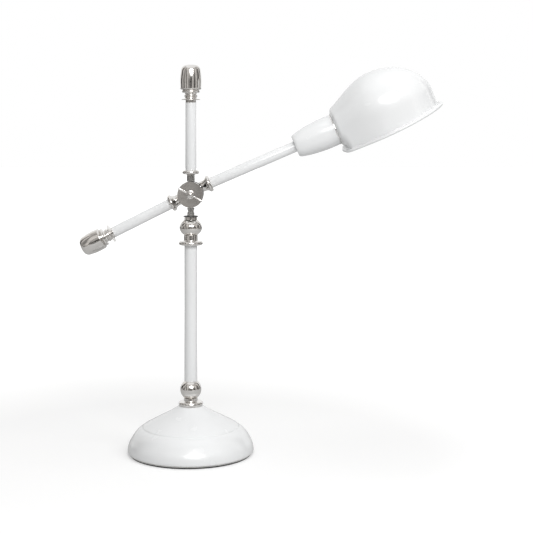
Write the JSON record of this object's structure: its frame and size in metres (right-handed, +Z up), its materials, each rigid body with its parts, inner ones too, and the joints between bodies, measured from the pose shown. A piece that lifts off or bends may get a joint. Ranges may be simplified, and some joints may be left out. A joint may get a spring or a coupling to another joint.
{
  "type": "desk lamp",
  "caption": "White enamel desk lamp with a weighted round base, upright post, friction knuckle, tilting arm with a counterweight and a helmet shaped shade.",
  "frame": {"origin": "centre of the base's underside, on the surface that the lamp stands on", "axes": "+Z up along the post, +X towards the shade, -Y to the front, where the wing nut is"},
  "size_m": [0.4574, 0.1585, 0.4852],
  "materials": {
    "white_enamel": "smooth white gloss enamel",
    "chrome": "polished plating",
    "zinc_steel": "plain zinc plated",
    "ballast_iron": "rough casting",
    "foot_rubber": "matt",
    "black_nylon": "satin",
    "holder_resin": "moulded resin, satin",
    "block_plastic": "moulded",
    "lead_jacket": "extruded jacket",
    "brass": "plain",
    "cap_aluminium": "plain",
    "opal_glass": "opal"
  },
  "bodies": {
    "base": {"foot_pad": "foot_rubber", "base_plate": "zinc_steel", "plate_screws": "zinc_steel", "ballast": "ballast_iron", "base_shell": "white_enamel", "cord_gland": "black_nylon", "terminal_block": "block_plastic", "stem_rod": "zinc_steel", "rod_washer": "zinc_steel", "rod_nut": "zinc_steel", "stem_lead": "lead_jacket", "foot_collar": "chrome", "foot_ball": "chrome", "lower_tube": "white_enamel", "stem_flange": "chrome", "stem_ball": "chrome", "swivel_washer": "black_nylon", "swivel_stud": "zinc_steel"},
    "post_head": {"swivel_screw": "zinc_steel", "post_knuckle": "chrome", "friction_washer": "black_nylon", "pivot_bolt": "chrome", "rear_washer": "black_nylon", "upper_coupling": "chrome", "upper_nipple": "zinc_steel", "upper_tube": "white_enamel", "finial_plug": "zinc_steel", "finial_collar": "chrome", "finial_stud": "zinc_steel", "top_finial": "chrome"},
    "clamp_washer": {"cup_washer": "chrome"},
    "clamp_nut": {"wing_nut": "chrome"},
    "arm": {"arm_knuckle": "chrome", "pivot_bush": "brass", "rear_coupling": "chrome", "rear_nipple": "zinc_steel", "rear_tube": "white_enamel", "weight_plug": "zinc_steel", "weight_collar": "chrome", "weight_stud": "zinc_steel", "counterweight": "chrome", "front_coupling": "chrome", "front_nipple": "zinc_steel", "front_tube": "white_enamel", "arm_lead": "lead_jacket", "socket_cup": "white_enamel", "cup_nipple": "zinc_steel", "cup_locknut": "zinc_steel", "neck_ring": "chrome", "holder_cap": "holder_resin", "holder_body": "holder_resin", "terminal_screws": "brass", "screw_shell": "brass", "centre_contact": "brass", "shade_nut": "holder_resin", "bulb_cap": "cap_aluminium", "bulb_glass": "opal_glass"},
    "shade_body": {"shade": "white_enamel"}
  },
  "joints": [
    {"name": "stem_swivel", "type": "hinge", "parent": "base", "child": "post_head", "pos_m": [0, 0, 0.2956], "axis": [0, 0, 1], "range_deg": [-143, 143]},
    {"name": "arm_tilt", "type": "hinge", "parent": "post_head", "child": "arm", "pos_m": [0, 0.01405, 0.32334], "axis": [0, -1, 0], "range_deg": [-80, 26]},
    {"name": "shade_turn", "type": "hinge", "parent": "arm", "child": "shade_body", "pos_m": [0.18144, 0.01405, 0.40412], "axis": [0.9184, 0, 0.3955], "range_deg": [-75, 75]},
    {"name": "clamp_slide", "type": "slide", "parent": "post_head", "child": "clamp_washer", "axis": [0, -1, 0], "range_m": [0, 0.0025]},
    {"name": "wing_nut_turn", "type": "hinge", "parent": "clamp_washer", "child": "clamp_nut", "pos_m": [0, -0.0087, 0.32334], "axis": [0, -1, 0], "range_deg": [0, 720]}
  ],
  "couplings": [
    {"joint": "wing_nut_turn", "follows": "clamp_slide", "rad_per_m": 5026.5}
  ]
}
